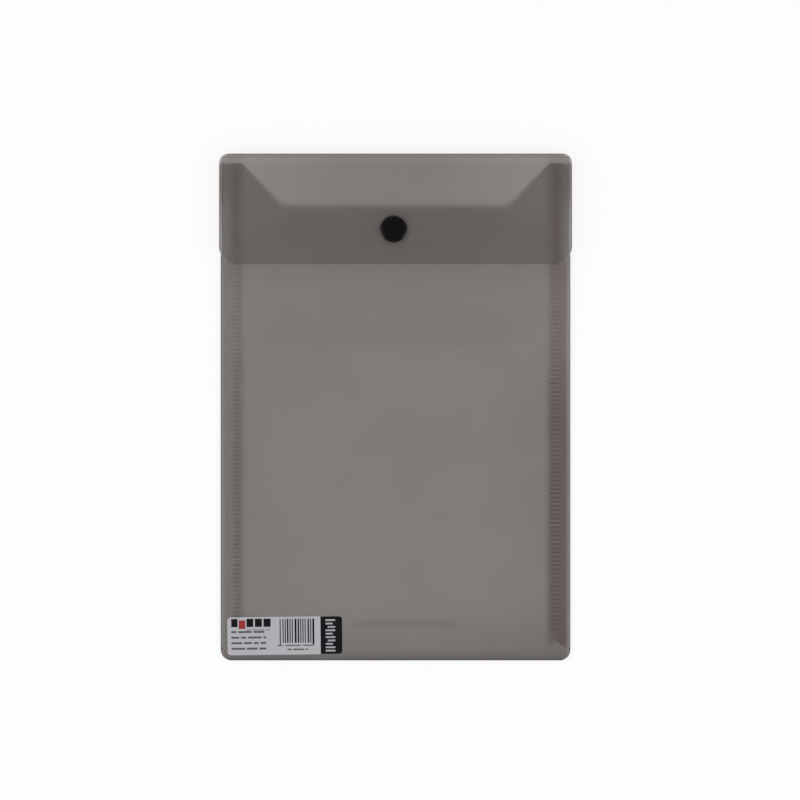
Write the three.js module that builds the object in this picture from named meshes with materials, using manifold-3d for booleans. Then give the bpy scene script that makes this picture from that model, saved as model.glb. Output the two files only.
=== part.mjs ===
// A snap-button document envelope: one die-cut sheet of smoke-grey polypropylene film, creased, folded and
// welded into a flat pocket, with a closure flap held by a four-piece plastic press stud and a paper label.
// It lies on its back: X across, Y from the bottom fold to the top crease, Z out of the front. Millimetres.
// The origin is under the middle of the closed envelope, on the back panel's outer face.

import * as THREE from 'three';
import { mergeVertices } from 'three/addons/utils/BufferGeometryUtils.js';
import Module from 'manifold-3d';

const wasm = await Module();
wasm.setup();

// Sheet and pocket
const film = 0.3; // thickness of the polypropylene sheet
const pocketWidth = 167; // over the two side folds
const pocketLength = 242; // bottom fold to the top crease
const pocketGap = 1.6; // clear height inside the empty pocket
const bottomCorner = 5; // radius of the two bottom corners
const frontInset = 1.5; // the front panel's edges lie this far inside the side folds
const hingeGap = 0.08; // half of the slit that stands for a crease's thinned web
const wholeCorner = 0.999; // share of a straight stub that a corner's arc may use up
const lugCorner = 1; // outer corner of a side lug

// Mouth of the pocket: the front panel stops short of the top crease and is cut away in the middle
const lugDrop = 4.7; // top crease to the top of the two side lugs
const mouthDepth = 20.2; // lug top to the straight middle of the mouth
const lugWidth = 8.6; // front panel's side edge to the cut-out
const mouthSlope = 19.4; // how far each slanted side runs outwards
const mouthEase = 2.5; // radius that eases the four corners of the cut-out
const cornerEase = 0.3; // least rounding left by the cutting die

// Side flaps: folded in from the back panel and welded under the front panel
const sideFlapWidth = 10; // from the outside of the fold
const sideFlapOuterCut = 5; // bottom fold to the lower end of the slanted cut
const sideFlapInnerCut = 11.7; // bottom fold to its upper end
const weldHeight = 0.1; // film to film, bridged by the weld ribs
const weldPitch = 2.02;
const weldRib = 1.0; // one rib along the seam
const weldLength = 4.2; // one rib across the seam
const weldEdge = 0.4; // ribs to the side flap's free edge
const weldEnd = 3; // bare stretch at both ends of the seam

// Closure flap and its double crease
const flapOverhang = 0.7; // the flap stands this far proud of the pocket on both sides
const flapBelowSnap = 16.5; // the snap's centre to the free edge
const flapTopCorner = 4.4; // radius at the crease
const flapCorner = 8.4; // radius at the free edge
const spineHeight = 4.8; // between the two top creases
const flapLevelFrom = 8; // the flap has risen to the socket this far before the snap's centre
const flapLevelTo = 7; // and bends down towards the pocket from this far past it
const flapLipDrop = 2; // that bend lowers the free edge this much
const scoreDrop = 1.6; // second score line, below the upper crease
const scoreWidth = 0.5;
const scoreDepth = 0.08;
const flapSteps = 18; // facets in the flap's rise
const flapLipSteps = 6; // facets in the bend at its free edge

// Press stud: cap and socket on the flap, stud and its back cap on the front panel
const snapDrop = 36.1; // top crease to the snap's centre
const snapOffset = -0.9; // the snap sits this far left of the centre line
const capRadius = 6.45;
const capRim = 0.95; // thickness at the edge
const capCrown = 1.6; // thickness at the centre
const capRound = 0.55; // rounding of the rim
const rimSteps = 5; // facets in the rounding
const capDish = 4.3; // radius where the cap's crown starts to level out
const capLevel = 3.4; // radius of its flat middle
const capLevelDrop = 0.12; // fall between the two
const backCapThickness = 1.2;
const backCapEdge = 0.45; // its thickness at the edge
const backCapSlope = 0.6; // width of the slope round its face
const postRadius = 1.3;
const postPlay = 0.15; // round the post in plastic
const filmPlay = 0.35; // round the post in the punched film
const rivetRadius = 1.9;
const rivetHeight = 0.5;
const discRadius = 5.2; // flanges of the socket and the stud
const studFlange = 0.9;
const socketHeight = 3.0;
const socketFlange = 0.9;
const socketHub = 4.1; // outer radius below the flange
const socketWeb = 0.8; // floor that the post is riveted through
const lipRadius = 2.75; // mouth of the socket
const lipHeight = 0.6;
const cavityRadius = 3.1;
const fingerSlot = 0.7; // slots that let the lip spring
const fingerDepth = 1.3;
const lipSlope = 0.3; // height of the slope behind the lip
const bossNeck = 2.1;
const bossHead = 2.3;
const bossPlay = 0.2; // stud's head to the rivet above it
const bossRivetRadius = 1.65;
const bossRivetHeight = 0.4;
const bossBand = 0.25; // height of the head's widest band, and of the slopes beside it
const edgeBreak = 0.25; // chamfer on the moulded pieces

// Label
const labelWidth = 54.9;
const labelHeight = 18.1;
const labelThickness = 0.1;
const labelCorner = 1.6;
const labelFromSide = 3.2;
const labelFromBottom = 2.8;
const labelTilt = 0.7; // degrees

// Levels and edges worked out from the sizes above
const halfPocket = pocketWidth / 2;
const halfFlap = halfPocket + flapOverhang;
const flapWidth = 2 * halfFlap;
const topY = pocketLength / 2;
const bottomY = -topY;
const lugY = topY - lugDrop;
const mouthY = lugY - mouthDepth;
const snapY = topY - snapDrop;
const flapDepth = snapDrop + flapBelowSnap;
const flapLip = flapBelowSnap - flapLevelTo;
const frontInner = film + pocketGap;
const frontOuter = frontInner + film;
const sideFlapTop = frontInner - weldHeight;
const sideFoldRadius = sideFlapTop / 2;
const bottomFoldRadius = frontOuter / 2;
const halfCrease = halfFlap - flapTopCorner; // half the length of the top creases
const flapSnapInner = frontOuter + studFlange + socketHeight;
const flapSnapOuter = flapSnapInner + film;

// Places a profile's own axes on the part's: drawn in X-Z and swept along -Y, or drawn in Y-Z and
// swept along X.
const sweptAlongY = new THREE.Matrix4().makeBasis(
  new THREE.Vector3(1, 0, 0), new THREE.Vector3(0, 0, 1), new THREE.Vector3(0, -1, 0));
const sweptAlongX = new THREE.Matrix4().makeBasis(
  new THREE.Vector3(0, 1, 0), new THREE.Vector3(0, 0, 1), new THREE.Vector3(1, 0, 0));

function extrude(shape, depth, curveSegments = 8) {
  return new THREE.ExtrudeGeometry(shape, { depth, bevelEnabled: false, curveSegments });
}

function toSolid(geometry) {
  const bare = geometry.clone();
  bare.deleteAttribute('normal');
  bare.deleteAttribute('uv');
  const merged = mergeVertices(bare, 1e-4);
  return new wasm.Manifold(new wasm.Mesh({
    numProp: 3,
    vertProperties: new Float32Array(merged.attributes.position.array),
    triVerts: new Uint32Array(merged.index.array),
  }));
}

function toGeometry(solid) {
  const mesh = solid.getMesh();
  const geometry = new THREE.BufferGeometry();
  geometry.setAttribute('position', new THREE.BufferAttribute(new Float32Array(mesh.vertProperties), 3));
  geometry.setIndex(new THREE.BufferAttribute(new Uint32Array(mesh.triVerts), 1));
  return geometry;
}

function box(x0, x1, y0, y1, z0, z1) {
  return new THREE.BoxGeometry(x1 - x0, y1 - y0, z1 - z0)
    .translate((x0 + x1) / 2, (y0 + y1) / 2, (z0 + z1) / 2);
}

// A closed profile of [radius, height] pairs, turned about the snap's axis.
function turned(profile, segments = 40) {
  const points = [...profile, profile[0]].map(([r, h]) => new THREE.Vector2(r, h));
  return new THREE.LatheGeometry(points, segments).rotateX(Math.PI / 2).translate(snapOffset, snapY, 0);
}

// A panel's outline as corners [x, y, radius], counterclockwise, each eased by an arc where it has a radius.
function outline(corners) {
  const shape = new THREE.Shape();
  corners.forEach(([x, y, radius = 0], i) => {
    const from = corners[(i + corners.length - 1) % corners.length];
    const to = corners[(i + 1) % corners.length];
    const here = new THREE.Vector2(x, y);
    const back = new THREE.Vector2(from[0], from[1]).sub(here).normalize();
    const ahead = new THREE.Vector2(to[0], to[1]).sub(here).normalize();
    const halfAngle = Math.acos(THREE.MathUtils.clamp(back.dot(ahead), -1, 1)) / 2;
    const reach = radius / Math.tan(halfAngle);
    const start = here.clone().addScaledVector(back, reach);
    if (i === 0) shape.moveTo(start.x, start.y);
    else shape.lineTo(start.x, start.y);
    if (radius > 0) {
      const inwards = back.clone().add(ahead).normalize();
      const centre = here.clone().addScaledVector(inwards, radius / Math.sin(halfAngle));
      const end = here.clone().addScaledVector(ahead, reach);
      const turn = back.x * ahead.y - back.y * ahead.x;
      shape.absarc(centre.x, centre.y, radius,
        Math.atan2(start.y - centre.y, start.x - centre.x),
        Math.atan2(end.y - centre.y, end.x - centre.x), turn > 0);
    }
  });
  shape.closePath();
  return shape;
}

// A wedge that mitres a sheet's edge at a crease along X: it removes all that lies above the 45 degree plane
// through the outer corner.
function mitre(creaseY, outerZ, innerZ) {
  const reach = 2 * film;
  const slope = Math.sign(innerZ - outerZ);
  const wedge = new THREE.Shape([
    new THREE.Vector2(creaseY - hingeGap + reach, outerZ - slope * reach),
    new THREE.Vector2(creaseY - hingeGap + reach, outerZ + slope * 2 * reach),
    new THREE.Vector2(creaseY - hingeGap - 2 * reach, outerZ + slope * 2 * reach),
  ]);
  return toSolid(extrude(wedge, 2 * flapWidth).applyMatrix4(sweptAlongX).translate(-flapWidth, 0, 0));
}

// A half-round fold's section, open towards the pocket: centre height, outer radius, which side it faces.
function foldSection(radius, side) {
  const shape = new THREE.Shape();
  const quarter = Math.PI / 2;
  shape.moveTo(0, 0);
  shape.absarc(0, radius, radius, -quarter, quarter, side < 0);
  shape.lineTo(0, 2 * radius - film);
  shape.absarc(0, radius, radius - film, quarter, -quarter, side > 0);
  shape.closePath();
  return shape;
}

// The back panel keeps small flat ears at its bottom corners, where the corner cut ends both folds.
function backPanel() {
  const flatX = halfPocket - sideFoldRadius;
  const flatY = bottomY + bottomFoldRadius;
  const cornerX = halfPocket - bottomCorner;
  const cornerY = bottomY + bottomCorner;
  const half = [
    [cornerX, flatY], [cornerX, bottomY], [halfPocket, bottomY, bottomCorner * wholeCorner],
    [halfPocket, cornerY], [flatX, cornerY], [flatX, lugY], [halfPocket, lugY, cornerEase],
    [halfPocket, topY, halfPocket - halfCrease],
  ];
  const mirrored = half.map(([x, y, radius]) => [-x, y, radius]).reverse();
  const sheet = toSolid(extrude(outline([...half, ...mirrored]), film));
  return toGeometry(sheet.subtract(mitre(topY, 0, film)));
}

function sideFold(side) {
  const length = lugY - (bottomY + bottomCorner);
  return extrude(foldSection(sideFoldRadius, side), length, 10)
    .applyMatrix4(sweptAlongY)
    .translate(side * (halfPocket - sideFoldRadius), lugY, 0);
}

function bottomFold() {
  const length = 2 * (halfPocket - bottomCorner);
  return extrude(foldSection(bottomFoldRadius, -1), length, 10)
    .applyMatrix4(sweptAlongX)
    .translate(-length / 2, bottomY + bottomFoldRadius, 0);
}

// A strip with a slanted lower end. The ribs on it are the seam's weld marks, and carry the front panel.
function sideFlap(side) {
  const foldX = side * (halfPocket - sideFoldRadius);
  const freeX = side * (halfPocket - sideFlapWidth);
  const low = bottomY + sideFlapOuterCut;
  const high = bottomY + sideFlapInnerCut;
  const strip = [[foldX, low], [foldX, lugY], [freeX, lugY], [freeX, high]];
  if (side < 0) strip.reverse();
  let solid = toSolid(extrude(outline(strip), film).translate(0, 0, sideFlapTop - film));
  const innerX = freeX + side * weldEdge;
  const outerX = innerX + side * weldLength;
  const seamStart = high + weldEnd;
  const ribs = Math.floor((lugY - weldEnd - weldRib - seamStart) / weldPitch) + 1;
  for (let i = 0; i < ribs; i += 1) {
    const y = seamStart + i * weldPitch;
    solid = solid.add(toSolid(box(Math.min(innerX, outerX), Math.max(innerX, outerX),
      y, y + weldRib, sideFlapTop - film / 2, frontInner)));
  }
  return toGeometry(solid);
}

function postHole(z0, z1, play) {
  return toSolid(turned([[0, z0], [postRadius + play, z0], [postRadius + play, z1], [0, z1]], 24));
}

function frontPanel() {
  const sideX = halfPocket - frontInset;
  const flatY = bottomY + bottomFoldRadius;
  const cornerX = halfPocket - bottomCorner;
  const shoulder = sideX - lugWidth;
  const middle = shoulder - mouthSlope;
  const half = [
    [cornerX, flatY], [cornerX, bottomY], [sideX, bottomY, (bottomCorner - frontInset) * wholeCorner],
    [sideX, lugY, lugCorner], [shoulder, lugY, mouthEase], [middle, mouthY, mouthEase],
  ];
  const mirrored = half.map(([x, y, radius]) => [-x, y, radius]).reverse();
  const sheet = toSolid(extrude(outline([...half, ...mirrored]), film).translate(0, 0, frontInner));
  return toGeometry(sheet.subtract(postHole(frontInner - film, frontOuter + film, filmPlay)));
}

// The narrow strip between the two top creases, standing upright while the envelope is closed.
function topSpine() {
  const section = new THREE.Shape([
    new THREE.Vector2(topY, hingeGap),
    new THREE.Vector2(topY, spineHeight - hingeGap),
    new THREE.Vector2(topY - film, spineHeight - film - hingeGap),
    new THREE.Vector2(topY - film, film + hingeGap),
  ]);
  return extrude(section, 2 * halfCrease).applyMatrix4(sweptAlongX).translate(-halfCrease, 0, 0);
}

// Height of the flap's outer face at a distance from the upper crease: a smooth rise to the snap, then a lip
// that follows the first half of a smooth step, so it is steepest at the free edge.
function flapHeight(distance) {
  const rise = THREE.MathUtils.smoothstep(distance, 0, snapDrop - flapLevelFrom);
  const fall = THREE.MathUtils.smoothstep(distance, flapDepth - flapLip, flapDepth + flapLip);
  return spineHeight + rise * (flapSnapOuter - spineHeight) - 2 * fall * flapLipDrop;
}

// The flap is bent only one way, as a sheet bends: its section is swept across and cut to the outline.
function closureFlap() {
  const stations = [];
  for (let i = 0; i <= flapSteps; i += 1) stations.push((i / flapSteps) * (snapDrop - flapLevelFrom));
  for (let i = 0; i <= flapLipSteps; i += 1) stations.push(flapDepth - flapLip * (1 - i / flapLipSteps));
  const outer = stations.map((d) => [d, flapHeight(d)]);
  const groove = [-0.5, 0, 0.5].map((at) => {
    const d = scoreDrop + at * scoreWidth;
    return [d, flapHeight(d) - (at === 0 ? scoreDepth : 0)];
  });
  const grooveEnd = scoreDrop + scoreWidth / 2;
  const scored = [...outer.filter(([d]) => d < scoreDrop - scoreWidth / 2), ...groove,
    ...outer.filter(([d]) => d > grooveEnd)];
  const inner = outer.map(([d, z]) => [d, z - film]).reverse();
  const section = new THREE.Shape([...scored, ...inner].map(([d, z]) => new THREE.Vector2(topY - d, z)));
  const swept = toSolid(extrude(section, flapWidth).applyMatrix4(sweptAlongX).translate(-halfFlap, 0, 0));
  const freeY = topY - flapDepth;
  const cut = outline([
    [halfFlap, freeY, flapCorner], [halfFlap, topY, flapTopCorner],
    [-halfFlap, topY, flapTopCorner], [-halfFlap, freeY, flapCorner],
  ]);
  const depth = flapSnapOuter + 2 * film;
  const sheet = swept.intersect(toSolid(extrude(cut, depth)))
    .subtract(mitre(topY, spineHeight, spineHeight - film));
  return toGeometry(sheet.subtract(postHole(flapSnapInner - film, flapSnapOuter + film, filmPlay)));
}

// The visible button: a low crowned disc whose post goes through the flap and is riveted inside the socket.
function snapCap() {
  const face = flapSnapOuter;
  const rivetTop = flapSnapInner - socketWeb;
  const rim = [];
  for (let i = 0; i <= rimSteps; i += 1) {
    const angle = (i / rimSteps) * (Math.PI / 2);
    const inwards = capRound * (1 - Math.cos(angle));
    const down = capRound * (1 - Math.sin(angle));
    rim.push([capRadius - inwards, face + capRim - down]);
  }
  return turned([
    [0, rivetTop - rivetHeight], [rivetRadius, rivetTop - rivetHeight], [rivetRadius, rivetTop],
    [postRadius, rivetTop], [postRadius, face], [capRadius - edgeBreak, face], [capRadius, face + edgeBreak],
    ...rim, [capDish, face + capCrown - capLevelDrop], [capLevel, face + capCrown], [0, face + capCrown],
  ], 56);
}

// The female half: a flanged hub with a sprung lip that grips the stud's head.
function snapSocket() {
  const mouth = frontOuter + studFlange;
  const ceiling = flapSnapInner - socketWeb;
  const flange = flapSnapInner - socketFlange;
  const body = toSolid(turned([
    [postRadius + postPlay, ceiling], [cavityRadius, ceiling], [cavityRadius, mouth + lipHeight + lipSlope],
    [lipRadius, mouth + lipHeight], [lipRadius, mouth + edgeBreak], [lipRadius + edgeBreak, mouth],
    [socketHub - edgeBreak, mouth], [socketHub, mouth + edgeBreak], [socketHub, flange],
    [discRadius - edgeBreak, flange], [discRadius, flange + edgeBreak],
    [discRadius, flapSnapInner], [postRadius + postPlay, flapSnapInner],
  ], 48));
  const reach = (cavityRadius + socketHub) / 2;
  const half = fingerSlot / 2;
  const slot = toSolid(box(snapOffset - reach, snapOffset + reach, snapY - half, snapY + half,
    frontOuter, mouth + fingerDepth));
  const crossSlot = toSolid(box(snapOffset - half, snapOffset + half, snapY - reach, snapY + reach,
    frontOuter, mouth + fingerDepth));
  return toGeometry(body.subtract(slot).subtract(crossSlot));
}

// The male half: a flange with a hollow boss, whose rim bulges into the socket.
function snapStud() {
  const base = frontOuter;
  const top = flapSnapInner - socketWeb - rivetHeight - bossPlay;
  const seat = top - bossRivetHeight;
  return turned([
    [postRadius + postPlay, base], [discRadius, base], [discRadius, base + studFlange - edgeBreak],
    [discRadius - edgeBreak, base + studFlange], [bossNeck, base + studFlange],
    [bossNeck, top - 3 * bossBand], [bossHead, top - 2 * bossBand], [bossHead, top - bossBand],
    [bossHead - bossBand, top], [bossRivetRadius + postPlay, top],
    [bossRivetRadius + postPlay, seat], [postRadius + postPlay, seat],
  ], 40);
}

// The stud's own cap lies inside the pocket, with its post riveted in the boss.
function studCap() {
  const face = frontInner;
  const top = flapSnapInner - socketWeb - rivetHeight - bossPlay;
  const seat = top - bossRivetHeight;
  return turned([
    [0, face - backCapThickness], [capDish, face - backCapThickness],
    [capRadius - backCapSlope, face - backCapThickness + edgeBreak],
    [capRadius, face - backCapEdge], [capRadius, face], [postRadius, face], [postRadius, seat],
    [bossRivetRadius, seat], [bossRivetRadius, top], [0, top],
  ], 40);
}

function label() {
  const half = [labelWidth / 2, labelHeight / 2];
  const shape = outline([
    [-half[0], -half[1], labelCorner], [half[0], -half[1], labelCorner],
    [half[0], half[1], labelCorner], [-half[0], half[1], labelCorner],
  ]);
  return extrude(shape, labelThickness).rotateZ(THREE.MathUtils.degToRad(labelTilt)).translate(
    -halfPocket + labelFromSide + half[0], bottomY + labelFromBottom + half[1], frontOuter);
}

const smokeFilm = () => new THREE.MeshStandardMaterial({ color: 0x8a8581, roughness: 0.45, metalness: 0 });
const blackPlastic = () => new THREE.MeshStandardMaterial({ color: 0x111110, roughness: 0.3, metalness: 0 });
const labelPaper = () => new THREE.MeshStandardMaterial({ color: 0xb4b3b9, roughness: 0.6, metalness: 0 });

const envelope = new THREE.Group();

function place(name, geometry, material) {
  const mesh = new THREE.Mesh(geometry, material);
  mesh.name = name;
  envelope.add(mesh);
}

place('back_panel', backPanel(), smokeFilm());
place('front_panel', frontPanel(), smokeFilm());
place('bottom_fold', bottomFold(), smokeFilm());
for (const [name, side] of [['left', -1], ['right', 1]]) {
  place(`side_fold_${name}`, sideFold(side), smokeFilm());
  place(`side_flap_${name}`, sideFlap(side), smokeFilm());
}
place('top_spine', topSpine(), smokeFilm());
place('closure_flap', closureFlap(), smokeFilm());
place('snap_cap', snapCap(), blackPlastic());
place('snap_socket', snapSocket(), blackPlastic());
place('snap_stud', snapStud(), blackPlastic());
place('stud_cap', studCap(), blackPlastic());
place('label', label(), labelPaper());

export default envelope;
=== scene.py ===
# %% [markdown]
# # A snap-button document envelope
# The real object is one die-cut sheet of smoke-grey polypropylene film, folded and welded into a flat
# pocket. Its flap closes with a black press stud, and a paper label sits in one corner.
# This lesson dresses a finished solid model of it. The solids fix every size and every joint. What is
# made here is the surface: thin film that bends smoothly at its folds, frosting, gloss and print.

import bpy
import numpy as np
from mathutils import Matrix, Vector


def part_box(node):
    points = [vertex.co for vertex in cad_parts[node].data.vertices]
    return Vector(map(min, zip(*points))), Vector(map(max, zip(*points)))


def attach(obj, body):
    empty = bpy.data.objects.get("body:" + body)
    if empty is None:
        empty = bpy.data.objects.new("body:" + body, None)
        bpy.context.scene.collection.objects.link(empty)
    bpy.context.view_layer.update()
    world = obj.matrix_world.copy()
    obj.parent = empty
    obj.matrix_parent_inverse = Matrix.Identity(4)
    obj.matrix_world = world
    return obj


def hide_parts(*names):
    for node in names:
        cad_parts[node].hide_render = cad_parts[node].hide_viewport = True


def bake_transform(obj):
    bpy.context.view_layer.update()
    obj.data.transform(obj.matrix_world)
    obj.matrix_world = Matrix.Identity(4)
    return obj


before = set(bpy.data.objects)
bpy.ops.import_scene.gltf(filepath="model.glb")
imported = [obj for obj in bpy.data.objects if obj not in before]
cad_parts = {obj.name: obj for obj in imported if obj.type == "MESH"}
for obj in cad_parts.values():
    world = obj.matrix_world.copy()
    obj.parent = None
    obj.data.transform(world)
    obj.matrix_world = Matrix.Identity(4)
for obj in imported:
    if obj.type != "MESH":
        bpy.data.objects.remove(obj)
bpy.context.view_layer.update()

# %% [markdown]
# ## Sizes come from the solids
# Each solid's box gives its lowest and highest corner in metres. Work on film is easier in millimetres,
# so the boxes are turned into arrays in millimetres, and every mesh is scaled back as it is made.

# %% Read the sizes
MM = 0.001


def box_mm(node):
    """A solid's lowest and highest corner, in millimetres."""
    low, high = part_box(node)
    return np.array(low) / MM, np.array(high) / MM


back_low, back_high = box_mm("back_panel")
front_high = box_mm("front_panel")[1]
fold_low, fold_high = box_mm("side_fold_right")
strip_low, strip_high = box_mm("side_flap_right")
flap_low, flap_high = box_mm("closure_flap")
spine_high = box_mm("top_spine")[1]
cap_low, cap_high = box_mm("snap_cap")

film = back_high[2] - back_low[2]
half_pocket = back_high[0]
half_front = front_high[0]
half_flap = flap_high[0]
half_crease = spine_high[0]
top_y = spine_high[1]
bottom_y = back_low[1]
lug_y = front_high[1]
snap_x, snap_y = (cap_low[:2] + cap_high[:2]) / 2
print("film", round(film, 2), "mm, pocket", round(2 * half_pocket, 1), "by", round(top_y - bottom_y, 1))

# %% [markdown]
# ## A film is a middle surface with a thickness
# Film could be modelled as a flat plate with a bevel, but a real film keeps its thickness round every
# fold. So each sheet starts as a grid of points on its middle surface. Half the thickness is added along
# the normals on both sides, and a rim closes the shell.

# %% Helpers: mesh from arrays, shell from a grid


def signed_volume(points, triangles):
    """Sum of the tetrahedra from the origin to each triangle. It is positive if the faces point out."""
    a, b, c = (points[triangles[:, i]] for i in range(3))
    return float(np.einsum("ij,ij->i", a, np.cross(b, c)).sum() / 6)


def mesh_piece(name, points, quads, smooth=True):
    """Makes an object of quads from points in millimetres, with its faces pointing out."""
    points = np.asarray(points, float)
    quads = np.asarray(quads, int)
    halves = np.concatenate([quads[:, [0, 1, 2]], quads[:, [0, 2, 3]]])
    if signed_volume(points - points.mean(0), halves) < 0:
        quads = quads[:, ::-1]
    mesh = bpy.data.meshes.new(name)
    mesh.from_pydata((points * MM).tolist(), [], quads.tolist())
    mesh.polygons.foreach_set("use_smooth", np.full(len(quads), smooth))
    mesh.update()
    piece = bpy.data.objects.new(name, mesh)
    bpy.context.scene.collection.objects.link(piece)
    return piece


def grid_quads(rows, columns, closed=False):
    """The quads of a grid of points, numbered row by row. Closed rows join their last point to the first."""
    start = np.arange(rows - 1)[:, None] * columns
    here = np.arange(columns if closed else columns - 1)
    after = (here + 1) % columns
    corners = [start + here, start + after, start + columns + after, start + columns + here]
    return np.stack(corners, -1).reshape(-1, 4)


def grid_points(x, y, z):
    """Spreads x, y and z over one grid and stacks them: three numbers for each point, in the last axis."""
    return np.stack(np.broadcast_arrays(x, y, z), -1)


def store(piece, attribute, values):
    """Stores a number on each point of a piece, for its material to read."""
    stored = piece.data.attributes.new(attribute, "FLOAT", "POINT")
    stored.data.foreach_set("value", np.asarray(values, np.float32))


def film_sheet(name, middle, thickness, density, **more):
    """A closed shell: middle + n t/2, middle - n t/2 and a rim, with n = d(row) x d(column) of unit length.
    Density is the depth of the film's colour, 1 for plain film, and it also carries painted shade and light.
    More are further numbers to store."""
    rows, columns, _ = middle.shape
    along_rows = np.gradient(middle, axis=0)
    along_columns = np.gradient(middle, axis=1)
    normal = np.cross(along_rows, along_columns)
    normal /= np.linalg.norm(normal, axis=2, keepdims=True)
    points = np.stack([middle + normal * thickness / 2, middle - normal * thickness / 2])
    count = rows * columns
    face = grid_quads(rows, columns)
    index = np.arange(count).reshape(rows, columns)
    loop = np.concatenate([index[0, :], index[1:, -1], index[-1, -2::-1], index[-2:0:-1, 0]])
    after = np.roll(loop, -1)
    rim = np.stack([loop, loop + count, after + count, after], -1)
    quads = np.concatenate([face[:, ::-1], face + count, rim[:, ::-1]])
    piece = mesh_piece(name, points.reshape(-1, 3), quads)
    for attribute, values in {"film_density_and_shade": density, **more}.items():
        store(piece, attribute, np.tile(np.broadcast_to(values, (rows, columns)).ravel(), 2))
    return piece


def half_width(y, half, low, low_radius, high, high_radius):
    """Half a sheet's width at height y: half - (r - sqrt(r^2 - d^2)), with y at d into a corner's circle."""
    into_low = np.clip(low + low_radius - y, 0, low_radius)
    into_high = np.clip(y - high + high_radius, 0, high_radius)
    lost_low = low_radius - np.sqrt(low_radius**2 - into_low**2)
    lost_high = high_radius - np.sqrt(high_radius**2 - into_high**2)
    return half - lost_low - lost_high


def smooth_step(t):
    """3 t^2 - 2 t^3, held at 0 and 1 outside the unit range."""
    t = np.clip(t, 0, 1)
    return t * t * (3 - 2 * t)


def line_at(x, centre, width):
    """A soft line exp(-((x - centre) / width)^2), 1 on the centre and near 0 beyond twice the width."""
    return np.exp(-(((x - centre) / width) ** 2))


def spaced(start, stop, count, ease=0.0):
    """Numbers from start to stop. Ease draws them towards both ends, where a sheet's corners are."""
    t = np.linspace(0, 1, count)
    eased = (1 - np.cos(np.pi * t)) / 2
    return start + (stop - start) * ((1 - ease) * t + ease * eased)


# %% [markdown]
# ## The pocket: back, bottom fold and front in one sheet
# On the real envelope the back panel runs round the bottom fold and becomes the front panel. One grid
# follows that path: down the back, round a half circle, and up the front to the edge of the mouth. The
# columns run across, and each row is as wide as the rounded outline is at its height.

# %% Outlines of the pocket
bottom_corner = 5.0
top_corner = half_pocket - half_crease
front_corner = bottom_corner - (half_pocket - half_front)
lug_corner = 1.0
crease_reach = 0.8
fold_line = fold_low[0]
bottom_centre = box_mm("bottom_fold")[1][1]
bottom_radius = bottom_centre - bottom_y
front_middle = front_high[2] - film / 2
strip_cut_low = bottom_y + bottom_corner
strip_cut_high = bottom_y + 11.7
strip_free = strip_low[0]
weld_pitch = 2.02
weld_half = 2.1
weld_deep = 0.5
weld_x = strip_free + 0.4 + weld_half
weld_start = strip_cut_high + 3.5
weld_stop = lug_y - 4.0


def back_width(y):
    """The outline of the back panel, drawn in to the fold line along the stretch that the side folds take."""
    outline = half_width(y, half_pocket, bottom_y, bottom_corner, top_y, top_corner)
    folded = (y > bottom_y + bottom_corner) & (y < lug_y)
    return np.where(folded, np.minimum(outline, fold_line), outline)


def front_width(y):
    """The outline of the front panel, with its corners at the fold and at the top of the lugs."""
    return half_width(y, half_front, bottom_y, front_corner, lug_y, lug_corner)


def eased_line(corners, radius, steps=7):
    """Points of a line through corners, each eased by an arc of that radius: centre + r (cos a, sin a)."""
    points = [corners[0]]
    for before, here, after in zip(corners[:-2], corners[1:-1], corners[2:]):
        back = (before - here) / np.linalg.norm(before - here)
        ahead = (after - here) / np.linalg.norm(after - here)
        half_angle = np.arccos(np.clip(back @ ahead, -1, 1)) / 2
        inwards = (back + ahead) / np.linalg.norm(back + ahead)
        centre = here + inwards * radius / np.sin(half_angle)
        start = here + back * radius / np.tan(half_angle) - centre
        stop = here + ahead * radius / np.tan(half_angle) - centre
        for t in np.linspace(0, 1, steps):
            spoke = start * (1 - t) + stop * t
            points.append(centre + spoke * radius / np.linalg.norm(spoke))
    points.append(corners[-1])
    return np.array(points)


mouth_bottom = 96.1
mouth_half = 54.0
mouth_shoulder = 73.4
mouth_easing = 2.5
mouth_corners = np.array([
    [0, mouth_bottom], [mouth_half, mouth_bottom], [mouth_shoulder, lug_y], [half_front, lug_y],
])
mouth_line = eased_line(mouth_corners, mouth_easing)


def mouth_edge(x):
    """Height of the front panel's upper edge: the cut-out's eased line, the same on both sides."""
    return np.interp(np.abs(x), mouth_line[:, 0], mouth_line[:, 1])


print("mouth line:", len(mouth_line), "points")

# %% [markdown]
# The sheet isn't quite flat, and its colour isn't quite even: the film is drawn darker at its bends,
# seams and creases. Most of that is painted shade, along the bottom fold, the seams, the lower corners
# and the flap's edge, and the film under the flap is drawn lighter with painted light. A painted picture
# could show that, but it would have to be fitted to the sheet. So each point of a film carries a number
# instead, its depth of colour, which is 1 for plain film and follows the same sizes as the shape. The
# table says how much painted shade the bottom fold adds at heights above the edge.

# %% Swell and depth of colour of the pocket
swell = 0.45
swell_half = 70.0
swell_from = -96.0
swell_length = 156.0


def front_swell(x, y):
    """The front stands off the back a little: swell * cos^2 across * sin^2 along, flat at stud and label."""
    across = np.cos(np.clip(x / swell_half, -1, 1) * np.pi / 2) ** 2
    along = np.sin(np.clip((y - swell_from) / swell_length, 0, 1) * np.pi) ** 2
    ripple = 1 + 0.22 * np.sin(x / 17 + y / 41) + 0.16 * np.sin(y / 23 - x / 37)
    return swell * across * along * ripple


darkens_from = 45.0
darkens_over = 65.0
covered_from = flap_low[1] - 2.4
seam_inside = 70.6
weld_inside = 74.0
flap_shade_from = 26.0
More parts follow.
